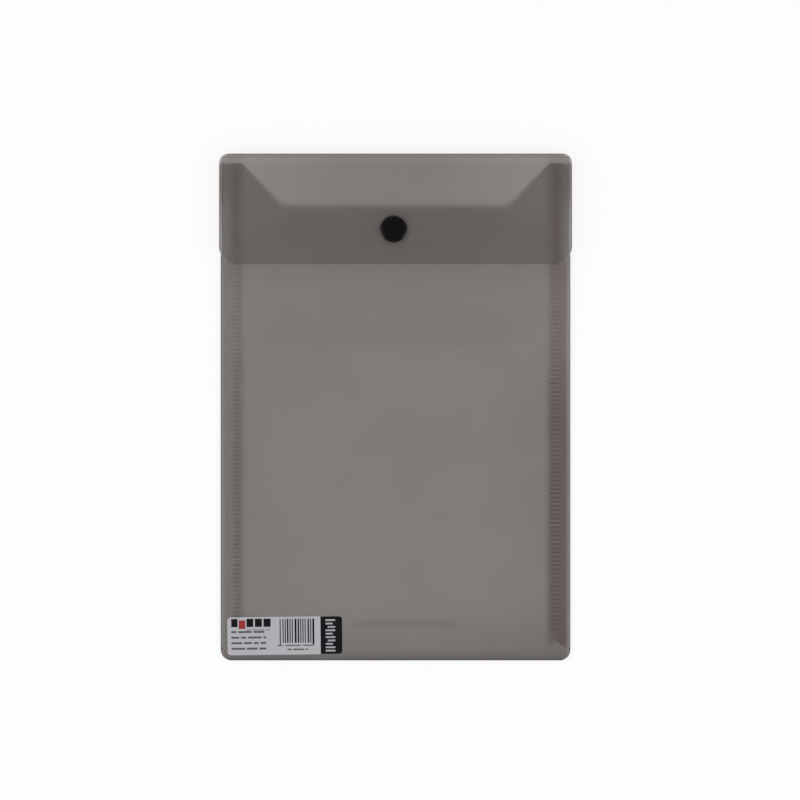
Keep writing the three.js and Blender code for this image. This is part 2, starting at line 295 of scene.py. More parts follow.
# Painted shade along the bottom fold: the density it adds at heights above the edge, most at the edge.
fold_painted_shade = np.array([
    [0, 2.2], [0.5, 1.8], [0.9, 0.7], [1.3, 0.45], [2.2, 0.38], [3.2, 0.3],
    [4.6, 0.22], [7, 0.16], [9.7, 0.14], [19, 0.06], [29, 0.01],
])
faint_creases = (
    {"at": 32.2, "depth": 0.04, "softness": 2.0, "middle": -6.0, "half_length": 54.0, "fade": 8.0},
    {"at": -103.4, "depth": 0.17, "softness": 1.6, "middle": 4.0, "half_length": 26.5, "fade": 4.0},
)


def lower_share(y):
    """0 in the pocket's upper third and 1 below its middle: the seams darken towards the bottom."""
    return smooth_step((darkens_from - y) / darkens_over)


def seam_painted_shade(out, right, height, low):
    """Painted shade beside the weld and, with right and low, most along the lower half of the right seam."""
    seam = smooth_step((out - seam_inside) / 3.2) * np.where(right, 0.11 + 0.21 * low, 0.10 + 0.09 * low)
    weld = smooth_step((out - weld_inside) / 3) * np.where(right, 0.04 + 0.1 * low, 0.06 + 0.05 * low)
    return (seam - weld) * smooth_step((height - 3.5) / 7) + 0.05 * low * smooth_step((out - 48) / 24)


def flap_painted_shadow_and_light(out, right, y):
    """Painted shadow: a soft dark line below the edge of the flap; and painted light: less density where the
    flap lies over the film.
    """
    # Painted shadow of the flap's edge on the pocket.
    edge = 0.07 * line_at(y, covered_from, 7)
    # Painted light under the flap, at the mouth and along the sides.
    mouth = 0.05 * smooth_step((y - 70) / 6) + np.where(right, 0.08, 0.06) * smooth_step((y - 86) / 8)
    mouth = mouth * smooth_step((out - 15) / 45) * smooth_step((76 - out) / 5)
    side = 0.1 * smooth_step((y - covered_from) / 6) * smooth_step((out - 77.5) / 4)
    return edge - mouth - side


def pocket_density_and_shade(x, y):
    """1, with painted shade at bottom fold, seams, beside the flap and at the lower corners, faint creases,
    and painted light below the flap.
    """
    height = y - bottom_y
    out = np.abs(x)
    right = x > 0
    density = 1 + np.interp(height, *fold_painted_shade.T)
    density += seam_painted_shade(out, right, height, lower_share(y)) + flap_painted_shadow_and_light(out, right, y)
    # Painted shade in the pocket's upper part, near the flap.
    density += 0.05 * smooth_step((y - flap_shade_from) / 8) * smooth_step((weld_inside - out) / 22)
    for crease in faint_creases:
        length = smooth_step((crease["half_length"] - np.abs(x - crease["middle"])) / crease["fade"])
        density += crease["depth"] * line_at(y, crease["at"], crease["softness"]) * length
    # Painted shade filling the lower corners, up to their outline.
    corner = (y < strip_cut_low) * smooth_step((out - front_width(y) + 0.2) / 0.5)
    return density + 1.3 * corner


def weld_share(x, y, z):
    """How strongly the sealing bar has marked the front film: 0 but for a band along each seam."""
    across = smooth_step((weld_half + 0.5 - np.abs(np.abs(x) - weld_x)) / 0.9)
    along = smooth_step((y - weld_start + 1) / 2) * smooth_step((weld_stop + 1 - y) / 2)
    strength = np.where(x > 0, 0.09 + 0.16 * lower_share(y), 0.1 + 0.03 * lower_share(y))
    return (z > bottom_radius) * across * along * strength


print("depth of colour at the front's middle:", round(float(pocket_density_and_shade(0.0, 0.0)), 3))

# %% [markdown]
# Rows and columns are closer where the film bends, where a corner is round and where the depth of colour
# changes fast, and wider apart on the flat stretches.

# %% Shape the pocket's sheet


def pocket_middle():
    """Rows follow the path back, fold, front, and columns share out each row's width."""
    weld_edges = weld_x + np.array([-weld_half - 0.4, -weld_half + 0.4, weld_half - 0.4, weld_half + 0.4])
    corners = np.concatenate([mouth_line[:, 0], weld_edges]) / half_front
    across = np.unique(np.concatenate([spaced(-1, 1, 121, 0.5), corners, -corners]))
    corner_y = bottom_y + bottom_corner
    y_back = np.concatenate([
        spaced(top_y - crease_reach, lug_y + 0.3, 10), [lug_y + 0.25, lug_y - 0.05],
        spaced(lug_y - 2, bottom_y + 24, 60)[:-1], spaced(bottom_y + 24, corner_y + 1, 24),
        [corner_y + 0.05, corner_y - 0.05], spaced(corner_y - 0.4, bottom_centre, 10),
    ])[:, None]
    back = grid_points(across * back_width(y_back), y_back, film / 2)
    turn = np.linspace(-np.pi / 2, np.pi / 2, 15)[1:-1, None]
    y_outer = bottom_centre - bottom_radius * np.cos(turn)
    x_fold = across * np.where(turn < 0, back_width(y_outer), front_width(y_outer))
    bend = bottom_radius - film / 2
    fold = grid_points(x_fold, bottom_centre - bend * np.cos(turn), bottom_radius + bend * np.sin(turn))
    upwards = np.concatenate([
        spaced(0, 0.03, 14)[:-1], spaced(0.03, 0.1, 26)[:-1], spaced(0.1, 1, 80, 0.4),
    ])[:, None]
    y_front = bottom_centre + upwards * (mouth_edge(across * half_front) - bottom_centre)
    x_front = across * front_width(y_front)
    front = grid_points(x_front, y_front, front_middle + front_swell(x_front, y_front))
    return np.concatenate([back, fold, front])


pocket_grid = pocket_middle()
pocket_x, pocket_y, pocket_z = np.moveaxis(pocket_grid, -1, 0)
pocket = film_sheet("pocket_sheet", pocket_grid, film, pocket_density_and_shade(pocket_x, pocket_y),
                    weld_share=weld_share(pocket_x, pocket_y, pocket_z))
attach(pocket, "pocket")
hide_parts("back_panel", "bottom_fold", "front_panel")
print("pocket sheet:", len(pocket.data.polygons), "faces")

# %% [markdown]
# ## Side folds and side flaps
# Each side flap folds in from the back panel and lies under the front panel, where it is welded. Its
# section is a hook: a half circle and a straight run. The lower end is cut on the slant, so each column
# of the grid starts at its own height.

# %% Shape the two side strips
strip_middle = fold_high[2] - film / 2
fold_radius = fold_high[2] / 2
bend_depth = 1.5


def strip_middle_surface(side):
    """Columns follow the hook c + r (cos a, sin a) and then the flat flap, and rows run up the seam."""
    turn = np.linspace(-np.pi / 2, np.pi / 2, 15)
    bend = fold_radius - film / 2
    hook_x = fold_line + bend * np.cos(turn)
    hook_z = fold_radius + bend * np.sin(turn)
    flat_x = spaced(fold_line, strip_free, 34)[1:]
    x = np.concatenate([hook_x, flat_x])
    z = np.concatenate([hook_z, np.full(len(flat_x), strip_middle)])
    slant = np.clip((fold_line - x) / (fold_line - strip_free), 0, 1)
    slant[: len(turn)] = 0
    low = strip_cut_low + slant * (strip_cut_high - strip_cut_low)
    upwards = spaced(0, 1, 60, 0.3)[:, None]
    return grid_points(side * x, low + upwards * (lug_y - low), z)


def strip_density_and_shade(side, x, y):
    """Density by the depth d from the fold's outside: a dark outline of painted shade and a pale shoulder of
    painted highlight, the flat strip, the weld band, and painted shade and light under the flap.
    """
    d = half_pocket - np.abs(x)
    low = lower_share(y)
    under_flap = smooth_step((y - covered_from) / 6)
    if side < 0:
        hook = np.interp(d, [0, 0.45, 0.6, 0.95, 1.1, 1.5], [4.0, 3.5, 0.75, 0.62, 1.0, 0.9])
        band = smooth_step((d - 5.6) / 1.2) * (1 - smooth_step((d - 8.6) / 1.2))
        flat = 0.12 - 0.08 * under_flap + (0.12 * low + 0.18 * under_flap) * band
    else:
        hook = np.interp(d, [0, 0.45, 0.6, 1.5], [2.6, 2.1, 0.7, 0.62])
        hook = hook + 0.3 * low * smooth_step((d - 0.6) / 0.3)
        flat = (0.37 - 0.22 * smooth_step((d - 5.4) / 3.2)) * (1 + 1.1 * low)
        flat = flat * smooth_step((d - 1.5 + 0.45 * low) / 1.7)
        flat = flat * (1 - 0.8 * under_flap * (1 - smooth_step((d - 3) / 3)))
    # Painted shade on the hook where the flap lies over it.
    hook = hook + 0.38 * under_flap * smooth_step((d - 0.45) / 0.3)
    return np.where(d < bend_depth, hook, flat)


strips = {}
for name, side in (("left", -1), ("right", 1)):
    grid = strip_middle_surface(side)
    strip = film_sheet(f"side_strip_{name}", grid, film, strip_density_and_shade(side, grid[..., 0], grid[..., 1]))
    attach(strip, "pocket")
    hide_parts(f"side_fold_{name}", f"side_flap_{name}")
    strips[name] = strip
print("side strips:", sorted(strips))

# %% [markdown]
# ## Weld marks
# A toothed sealing bar leaves a ladder of short marks where side flap and front panel are melted
# together. They are small pads with round ends between the two films. All the pads of one seam are
# copies of one pad, made at once by adding a column of offsets to its points. The frosted front film
# blurs what lies behind it, so the dents of the same teeth in that film are added with its material.

# %% Lay out the weld marks
pad_sides = 20
pad_levels = strip_high[2] - np.array([0.085, 0.05, 0.015])
pad_scales = np.array([0.9, 1.0, 0.9])
weld_y = np.arange(weld_start, weld_stop, weld_pitch)


def capped_rings(rings, poles):
    """Points and quads of a closed tube of rings (n, m, 3), with m even, whose ends close round two poles."""
    count, sides, _ = rings.shape
    ring = np.arange(0, sides, 2)
    start = (count - 1) * sides
    first = np.stack([np.full(len(ring), count * sides), (ring + 2) % sides, ring + 1, ring], -1)
    last = np.stack([ring, ring + 1, (ring + 2) % sides], -1) + start
    last = np.concatenate([np.full((len(ring), 1), count * sides + 1), last], 1)
    quads = np.concatenate([grid_quads(count, sides, closed=True), first, last])
    return np.concatenate([rings.reshape(-1, 3), poles]), quads


def weld_ladder(name, side, density):
    """Pads with outline (a cos t |cos t|^-0.4, b sin t), repeated at the seam's pitch."""
    t = np.linspace(0, 2 * np.pi, pad_sides, endpoint=False)
    outline_x = weld_half * np.sign(np.cos(t)) * np.abs(np.cos(t)) ** 0.6
    outline_y = weld_deep * np.sin(t)
    rings = grid_points(np.outer(pad_scales, outline_x), np.outer(pad_scales, outline_y), pad_levels[:, None])
    pad, quads = capped_rings(rings, grid_points(0, 0, pad_levels[[0, -1]]))
    places = grid_points(side * weld_x, weld_y[:, None], 0)
    points = (places + pad).reshape(-1, 3)
    faces = np.arange(len(weld_y))[:, None, None] * len(pad) + quads
    ladder = mesh_piece(name, points, faces.reshape(-1, 4), smooth=False)
    store(ladder, "film_density_and_shade", density * (1 + 0.8 * lower_share(points[:, 1])))
    return ladder


welds = {}
for name, side, density in (("left", -1, 0.22), ("right", 1, 0.4)):
    ladder = weld_ladder(f"weld_marks_{name}", side, density)
    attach(ladder, "pocket")
    welds[name] = ladder
print("weld marks on each side:", len(weld_y))

# %% [markdown]
# ## The closure flap
# The flap leaves the upper crease level, rises over the socket of the press stud, lies flat and bends
# down a little at its free edge. A film bends in one direction at a time, so its height depends on the
# distance from the crease alone.

# %% Shape the closure flap
flap_top_corner = half_flap - half_crease
flap_corner = 8.4
flap_depth = top_y - flap_low[1]
rise_length = top_y - snap_y - 8.0
lip_from = top_y - snap_y + 7.0
lip_drop = 2.0
flap_outer = flap_high[2]
spine_top = spine_high[2] + 0.08
score_at = 1.6


def flap_height(distance):
    """Outer face: a smooth step up to the snap, half a smooth step down at the lip, and a scored groove."""
    groove = 0.06 * line_at(distance, score_at, 0.18)
    lip = 2 * lip_drop * smooth_step((distance - lip_from) / (2 * (flap_depth - lip_from)))
    return spine_top + (flap_outer - spine_top) * smooth_step(distance / rise_length) - lip - groove


def flap_density_and_shade(x, distance):
    """1, more as painted shade along the scored crease and all edges, less as painted light where light comes
    in under the raised sides and across the flap, and less near the crease.
    """
    out = np.abs(x)
    score_shade = 0.35 * line_at(distance, score_at, 0.25)
    edge = 0.6 * (1 - smooth_step((flap_depth - distance) / 0.5))
    side_edge_shade = 1.6 * (1 - smooth_step((half_flap - out - 0.45) / 0.5)) * smooth_step((distance - 3.5) / 3)
    raised = 0.55 * smooth_step((out - 76.5) / 6) * smooth_step((distance - 12) / 22)
    side_light = 0.05 + 0.09 * smooth_step((out - 15) / 45) * smooth_step((77 - out) / 5)
    near_crease = 0.12 * smooth_step((6 - distance) / 3)
    return 1 + score_shade + edge + side_edge_shade - raised - side_light - near_crease


def flap_haze(x, distance):
    """What lies deeper below the flap looks softer: most at the mouth, less near the crease and the sides."""
    beside = smooth_step((np.abs(x) - 74) / 5) * smooth_step((distance - 8) / 8)
    return np.interp(distance, [4, 27], [0.45, 0.85]) * (1 - 0.45 * beside)


def flap_middle():
    """Rows run down from the crease, and columns share out the width of the rounded outline."""
    inner = 1 - 1.2 / half_flap
    outer = np.linspace(inner, 1, 9)[1:]
    across = np.concatenate([-outer[::-1], spaced(-inner, inner, 81, 0.4), outer])
    straight = flap_depth - flap_corner
    distance = np.concatenate([
        np.linspace(crease_reach, 5, 40)[:-1], spaced(5, straight, 36),
        spaced(straight, flap_depth, 30, 0.9)[1:],
    ])[:, None]
    y = top_y - distance
    x = across * half_width(y, half_flap, flap_low[1], flap_corner, top_y, flap_top_corner)
    middle = grid_points(x, y, flap_height(distance) - film / 2)
    return middle, flap_density_and_shade(x, distance), flap_haze(x, distance)


flap_grid, flap_depth_of_colour_and_shade, flap_softness = flap_middle()
flap = film_sheet("flap_sheet", flap_grid, film, flap_depth_of_colour_and_shade, film_haze=flap_softness)
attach(flap, "flap")
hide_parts("closure_flap")
print("flap:", round(flap_depth, 1), "mm deep")

# %% [markdown]
# ## The two top creases
# The film turns twice at the top, round a narrow spine. Both bends open when the flap is lifted, so each
# is its own short strip of film that is shared between the two bodies it joins: it follows one at its
# start, the other at its end, and turns smoothly between them.

# %% Bend film round the creases
bend_radius = 0.45


def crease_middle(low_z, high_z, upper):
    """A quarter circle c + r (cos a, sin a) between a level run and the upright spine."""
    turn = np.linspace(0, np.pi / 2, 12)
    upright = top_y - film / 2
    y_turn = upright - bend_radius + bend_radius * np.sin(turn)
    level = low_z + film / 2
    z_turn = level + bend_radius * (1 - np.cos(turn))
    y = np.concatenate([[top_y - crease_reach], y_turn, [upright, upright]])
    z = np.concatenate([[level], z_turn, [(level + bend_radius + high_z) / 2, high_z]])
    half, corner = half_pocket, top_corner
    if upper:
        z = low_z + high_z - z
        half, corner = half_flap, flap_top_corner
    y_outer = y + film / 2 * np.clip((y - top_y + crease_reach) / (crease_reach - film / 2), 0, 1)
    widths = half_width(np.minimum(y_outer, top_y), half, bottom_y, bottom_corner, top_y, corner)
    return grid_points(spaced(-1, 1, 81, 0.5) * widths[:, None], y[:, None], z[:, None])


spine_middle_z = spine_top / 2
lower_crease = film_sheet("lower_crease", crease_middle(0.0, spine_middle_z, upper=False), film, 0.9)
upper_grid = crease_middle(spine_middle_z, spine_top, upper=True)
# Painted shade: the upper crease is drawn darker where it turns towards the spine.
upper_crease_density_and_shade = 0.75 + 0.45 * smooth_step((upper_grid[..., 1] - top_y + crease_reach) / 0.4)
upper_crease = film_sheet("upper_crease", upper_grid, film, upper_crease_density_and_shade)
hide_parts("top_spine")
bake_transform(lower_crease)
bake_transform(upper_crease)
print("creases span", round(2 * half_crease, 1), "mm")

# %% [markdown]
# ## The press stud
# Four turned pieces hold the envelope shut: a cap and a socket on the flap, a stud and a back cap on the
# front panel. Only the cap shows its whole face, so it is made anew, and the other three keep the meshes
# of their solids. Its rim could be rounded with a bevel, but a profile of radius and height, turned about
# the stud's axis, gives the rim its arc and the crown its dome at once.

# %% Turn the cap


def turned_piece(name, profile, segments=96):
    """Points (r cos a, r sin a, h) for a profile of (r, h) that starts and ends on the stud's axis."""
    profile = np.array(profile, float)
    angle = np.linspace(0, 2 * np.pi, segments, endpoint=False)
    r = profile[1:-1, :1]
    h = profile[1:-1, 1:]
    rings = grid_points(r * np.cos(angle) + snap_x, r * np.sin(angle) + snap_y, h)
    poles = grid_points(snap_x, snap_y, profile[[0, -1], 1])
    return mesh_piece(name, *capped_rings(rings, poles))


cap_radius = (cap_high[0] - cap_low[0]) / 2
cap_base = cap_low[2]
cap_top = cap_high[2]
cap_face = flap_outer
cap_round = 0.9
rim_top = cap_face + 0.95
post_radius = 1.3
rivet_radius = 1.9
rivet_top = cap_base + 0.5
turn = np.linspace(0, np.pi / 2, 9)
rim = np.stack([cap_radius - cap_round * (1 - np.cos(turn)), rim_top - cap_round * (1 - np.sin(turn))], -1)
crown_radius = cap_radius - cap_round
crown_r = np.linspace(crown_radius, 0, 14)[1:-1]
crown = np.stack([crown_r, rim_top + (cap_top - rim_top) * (1 - (crown_r / crown_radius) ** 2)], -1)
button = turned_piece("button", [
    [0, cap_base], [rivet_radius, cap_base], [rivet_radius, rivet_top], [post_radius, rivet_top],
    [post_radius, cap_face], [cap_radius, cap_face], *rim, *crown, [0, cap_top],
])
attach(button, "flap")
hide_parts("snap_cap")
print("button:", round(2 * cap_radius, 1), "mm across")

# %% [markdown]
# ## The label
# A label of coated paper, with round corners, is stuck on slightly askew. Its print could be a pattern
# in the paper's material, but ink with edges of its own stays crisp at any distance. So paper and ink
# are separate thin slabs. The print is plain: blocks, rows of dashes, upright bars of mixed widths and a
# black end panel with pale marks.

# %% Helpers for the label
label_size = np.array([54.9, 18.1])
label_tilt = np.radians(0.7)
label_low, label_high = box_mm("label")
label_centre = (label_low[:2] + label_high[:2]) / 2
label_top = label_high[2]
sharp_corner = 0.05


def on_label(points):
    """Turns points drawn about the label's centre by its tilt, and moves them to its place."""
    x, y, z = np.moveaxis(points, -1, 0)
    cosine, sine = np.cos(label_tilt), np.sin(label_tilt)
    return grid_points(x * cosine - y * sine + label_centre[0], x * sine + y * cosine + label_centre[1], z)


def slabs(name, rects, low, high, radius=0.0, right_only=False):
    """One slab for each row (x0, x1, y0, y1) of rects, with corners on circles of that radius."""
    rects = np.asarray(rects, float)
    quarter = np.linspace(0, np.pi / 2, 6 if radius else 1)
    x0, x1, y0, y1 = (rects[:, i, None] for i in range(4))
    left = sharp_corner if right_only else radius
    circles = (
        (x1 - radius, y1 - radius, radius), (x0 + left, y1 - left, left),
        (x0 + left, y0 + left, left), (x1 - radius, y0 + radius, radius),
    )
    corners = []
    for k, (x, y, r) in enumerate(circles):
        angle = quarter + k * np.pi / 2
        corners.append(np.stack([x + r * np.cos(angle), y + r * np.sin(angle)], -1))
    outline = np.concatenate(corners, 1)
    sides = outline.shape[1]
    rings = np.tile(outline, (1, 2, 1))
    points = on_label(grid_points(rings[..., 0], rings[..., 1], np.repeat([low, high], sides)))
    here = np.arange(sides)
    after = np.roll(here, -1)
    walls = np.stack([here, after, after + sides, here + sides], -1)
    across = np.arange(sides // 2 - 1)
    top = np.stack([across, across + 1, sides - 2 - across, sides - 1 - across], -1) + sides
    slab = np.concatenate([walls, top, top[:, ::-1] - sides])
    quads = np.arange(len(rects))[:, None, None] * 2 * sides + slab
    return mesh_piece(name, points.reshape(-1, 3), quads.reshape(-1, 4), smooth=False)


def dash_rows(x0, x1, rows, height, word, gap):
    """Rows of plain dashes, word * (0.7, 1.1, 1.5 or 1.9) long by a repeating rule and cut off at x1."""
    number = np.arange(20)
    rects = []
    for k, y in enumerate(rows):
        length = word * (0.7 + 0.4 * ((number * 3 + k) % 4))
        start = x0 + np.concatenate([[0], np.cumsum(length + gap)[:-1]])
        stop = np.minimum(start + length, x1)
        kept = stop - start > 0.3 * word
        rects.append(np.stack(np.broadcast_arrays(start, stop, y, y + height), -1)[kept])
    return np.concatenate(rects)


def bar_field(x0, x1, y0, y1):
    """Upright bars whose widths follow a plain repeating rule. The two end bars are longer."""
    number = np.arange(14)
    bar = 0.42 + 0.2 * ((number * 3) % 4 == 1) + 0.36 * ((number * 5) % 7 == 2)
    space = 0.5 + 0.3 * ((number * 2) % 5 == 0)
    start = np.concatenate([[0], np.cumsum(bar + space)[:-1]])
    scale = (x1 - x0) / (start[-1] + bar[-1])
    left = x0 + start * scale
    at_end = (number == 0) | (number == number[-1])
    return np.stack(np.broadcast_arrays(left, left + bar * scale, y0 - 0.8 * at_end, y1), -1)


print("label:", label_size, "mm, tilted", round(float(np.degrees(label_tilt)), 1), "degrees")

# %% [markdown]
# The print is laid out in millimetres from the label's centre. Every block of print is a row of numbers:
# its left and right side, its lower and its upper edge.

# %% Cut the label and lay out its print
half_x, half_y = label_size / 2
left, foot = -half_x, -half_y
label_corner = 1.6
margin = 0.05
tab_left = half_x - 10.4
ink = 0.012
ink_top = label_top + ink

heading_blocks = ((1.9, 4.9), (9.2, 12.4), (13.2, 16.5), (17.3, 20.7))
heading = [[left + x0, left + x1, half_y - 4.7, half_y - 0.8] for x0, x1 in heading_blocks]
accent = [[left + 5.5, left + 8.6, half_y - 5.6, half_y - 1.5]]
bars = bar_field(left + 25.0, left + 41.5, foot + 5.6, half_y - 1.0)
small_lines = [1.5 - 2.66 * k for k in range(4)]
dashes = np.concatenate([
    dash_rows(left + 1.9, left + 18.5, small_lines, height=0.95, word=3.4, gap=0.9),
    dash_rows(left + 23.7, left + 41.4, [foot + 4.1], height=0.55, word=4.0, gap=0.9),
    dash_rows(left + 28.6, left + 38.5, [foot + 2.1], height=0.7, word=2.8, gap=0.8),
    dash_rows(left + 9.0, left + 20.6, [half_y - 6.3], height=0.32, word=3.0, gap=0.7),
])
end_panel = [[tab_left, half_x - margin, foot + margin, half_y - margin]]
mark = np.arange(10)
mark_start = tab_left + 2.4 + 1.0 * ((mark * 3) % 4 == 1)
mark_stop = tab_left + 7.0 - 1.2 * ((mark * 5) % 3 == 1)
mark_low = 1.62 * mark - 7.8
marks = np.stack([mark_start, mark_stop, mark_low, mark_low + 0.8], -1)

paper = slabs("label_paper", [[left, half_x, foot, half_y]], label_low[2], label_top, label_corner)
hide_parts("label")
dark = slabs("label_print", np.concatenate([heading, bars]), label_top, ink_top)
grey = slabs("label_small_print", dashes, label_top, ink_top)
red = slabs("label_accent", accent, label_top, ink_top)
tab = slabs("label_end_panel", end_panel, label_top, ink_top, label_corner - margin, right_only=True)
pale = slabs("label_end_marks", marks, ink_top, ink_top + ink)
label_pieces = (paper, dark, grey, red, tab, pale)
for piece in label_pieces:
    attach(piece, "pocket")
print("print dashes:", len(dashes), "bars:", len(bars))

# %% [markdown]
# ## Smoke-grey film
# Frosted polypropylene lets most light through, dims it, and scatters a little back. Rough glass could
# do this, but it blocks the light that should reach the table through the film. So each face mixes a
# tinted Transparent shader with a thin share of satin plastic. Light passes two faces for each film, and
# each face takes the square root of the film's whole dimming.

# %% Helpers for materials


def node(tree, kind, **values):
    """Adds a shader node, and sets its properties or its sockets by name."""
    made = tree.nodes.new(kind)
    for key, value in values.items():
        if hasattr(made, key):
            setattr(made, key, value)
        else:
            made.inputs[key.replace("_", " ")].default_value = value
    return made


def maths(tree, operation, a, b):
    """The output of a Math node for a and b, each a number or another node's output."""
    made = node(tree, "ShaderNodeMath", operation=operation)
    for socket, value in zip(made.inputs, (a, b)):
        if isinstance(value, (int, float)):
            socket.default_value = value
        else:
            tree.links.new(value, socket)
    return made.outputs["Value"]


def mixed(tree, share, first, second):
    """The output of a Mix Shader node: the first shader, with a share of the second mixed in."""
    made = node(tree, "ShaderNodeMixShader")
    for socket, source in zip(made.inputs, (share, first, second)):
        tree.links.new(source, socket)
    return made.outputs["Shader"]


def new_material(name):
    """An empty node material, with its output and Object coordinates."""
    material = bpy.data.materials.new(name)
    material.use_nodes = True
    tree = material.node_tree
    tree.nodes.clear()
    output = tree.nodes.new("ShaderNodeOutputMaterial")
    place = tree.nodes.new("ShaderNodeTexCoord")
    return material, tree, output, place


# %% [markdown]
# The film's optical thickness is a number on its points, which also carries painted shade and light,
# times a drift of a few per cent, and it grows where the film is seen edge on. On the pocket the ribs of
# the sealing bar add a ripple to it. A tint raised to that number dims the light as a thicker film
# would. The frosting also blurs what lies well behind a film, such as the pocket's mouth behind the
# flap. Only the view needs that, so on a film's far face the camera's rays pass a rough Refraction
# shader instead.

# %% Make the film's material
satin_share = 0.12
drift_share = 0.16
edge_gain = 2.2
blur_index = 0.35


def rib_marks(tree, place):
    """Density added by the ribs of the sealing bar: weld_share * cos(2 pi (y - start) / pitch)."""
    share = node(tree, "ShaderNodeAttribute", attribute_name="weld_share")
    parts = node(tree, "ShaderNodeSeparateXYZ")
    tree.links.new(place.outputs["Object"], parts.inputs["Vector"])
    along = maths(tree, "SUBTRACT", parts.outputs["Y"], weld_start * MM)
    wave = maths(tree, "COSINE", maths(tree, "MULTIPLY", along, 2 * np.pi / (weld_pitch * MM)), 0.0)
    return maths(tree, "MULTIPLY", wave, share.outputs["Fac"])


def see_through(tree, dimmed, stored_haze):
    """Clear for all light, but for the camera's rays on a film's far face, which rough refraction blurs."""
    clear = node(tree, "ShaderNodeBsdfTransparent")
    blurred = node(tree, "ShaderNodeBsdfRefraction", IOR=blur_index, Roughness=0.66)
    if stored_haze:
        haze = node(tree, "ShaderNodeAttribute", attribute_name="film_haze")
        tree.links.new(haze.outputs["Fac"], blurred.inputs["Roughness"])
    for shader in (clear, blurred):
        tree.links.new(dimmed, shader.inputs["Color"])
    ray = node(tree, "ShaderNodeLightPath")
    far_face = maths(tree, "MULTIPLY", ray.outputs["Is Camera Ray"], ray.outputs["Transparent Depth"])
    return mixed(tree, far_face, clear.outputs["BSDF"], blurred.outputs["BSDF"])


def satin(tree, place):
    """A satin surface whose bump has the fine grain of the frosting."""
    frost = node(tree, "ShaderNodeTexNoise", Scale=5200.0, Detail=2.0)
    tree.links.new(place.outputs["Object"], frost.inputs["Vector"])
    bump = node(tree, "ShaderNodeBump", Strength=0.25, Distance=0.00002)
    tree.links.new(frost.outputs["Fac"], bump.inputs["Height"])
    shader = node(tree, "ShaderNodeBsdfPrincipled", Roughness=0.3, IOR=2.4)
    shader.inputs["Base Color"].default_value = (0.27, 0.28, 0.265, 1)
    tree.links.new(bump.outputs["Normal"], shader.inputs["Normal"])
    return shader.outputs["BSDF"]


def smoke_film(name, tint, stored_haze=False, welded=False):
    """Each face lets tint^(thickness / 2) of the light through, and mixes in a share of satin plastic."""
    material, tree, output, place = new_material(name)
    density = node(tree, "ShaderNodeAttribute", attribute_name="film_density_and_shade").outputs["Fac"]
    cloud = node(tree, "ShaderNodeTexNoise", Scale=24.0, Detail=2.0, Roughness=0.5)
    tree.links.new(place.outputs["Object"], cloud.inputs["Vector"])
    drift = maths(tree, "MULTIPLY", cloud.outputs["Fac"], drift_share)
    drift = maths(tree, "ADD", drift, 1 - drift_share / 2)
    tilt = node(tree, "ShaderNodeLayerWeight", Blend=0.5)
    edge_on = maths(tree, "MULTIPLY", maths(tree, "POWER", tilt.outputs["Facing"], 3.0), edge_gain)
    depth = maths(tree, "ADD", density, rib_marks(tree, place)) if welded else density
    thickness = maths(tree, "MULTIPLY", depth, drift)
    thickness = maths(tree, "MULTIPLY", thickness, maths(tree, "ADD", edge_on, 1.0))
    dimmed = node(tree, "ShaderNodeGamma")
    dimmed.inputs["Color"].default_value = (*tint, 1)
    tree.links.new(maths(tree, "MULTIPLY", thickness, 0.5), dimmed.inputs["Gamma"])
    share = maths(tree, "MULTIPLY", maths(tree, "MINIMUM", density, 1.0), satin_share)
    surface = mixed(tree, share, see_through(tree, dimmed.outputs["Color"], stored_haze), satin(tree, place))
    tree.links.new(surface, output.inputs["Surface"])
    return material


grey_tint = (0.580, 0.545, 0.536)
grey_film = smoke_film("smoke_film_plain", grey_tint)
pocket_film = smoke_film("smoke_film_pocket", grey_tint, welded=True)
flap_film = smoke_film("smoke_film_flap", grey_tint, stored_haze=True)
bend_film = smoke_film("smoke_film_bends", (0.582, 0.572, 0.566))
warm_film = smoke_film("smoke_film_warm", (0.71, 0.545, 0.541))
print("film materials:", grey_film.name, pocket_film.name, flap_film.name, bend_film.name, warm_film.name)

# %% [markdown]
# Bends and creases are a more neutral grey than the flat film, and the right seam is a little warmer. A
# sheet that has a bend holds two materials, and each of its faces picks one by its place.

# %% Give the films their materials
fold_height = 1.0
flap.data.materials.append(flap_film)
for piece in (lower_crease, upper_crease):
    piece.data.materials.append(bend_film)
welds["left"].data.materials.append(grey_film)
welds["right"].data.materials.append(warm_film)
for piece, flat_film in ((pocket, pocket_film), (strips["left"], grey_film), (strips["right"], warm_film)):
    piece.data.materials.append(flat_film)
    piece.data.materials.append(bend_film)
    centres = np.empty(3 * len(piece.data.polygons))
    piece.data.polygons.foreach_get("center", centres)
    x, y, _ = centres.reshape(-1, 3).T / MM
    on_bend = y < bottom_y + fold_height if piece is pocket else np.abs(x) > half_pocket - bend_depth
    piece.data.polygons.foreach_set("material_index", on_bend.astype(np.int32))
    print(piece.name, "has", int(on_bend.sum()), "faces on its bend")

# %% [markdown]
# ## Moulded plastic, paper and ink
# The stud is moulded in black plastic with a fine satin grain. The label's paper is coated, so it has a
# soft sheen and a hint of fibre, and its ink lies a little glossier on top.

# %% Opaque materials


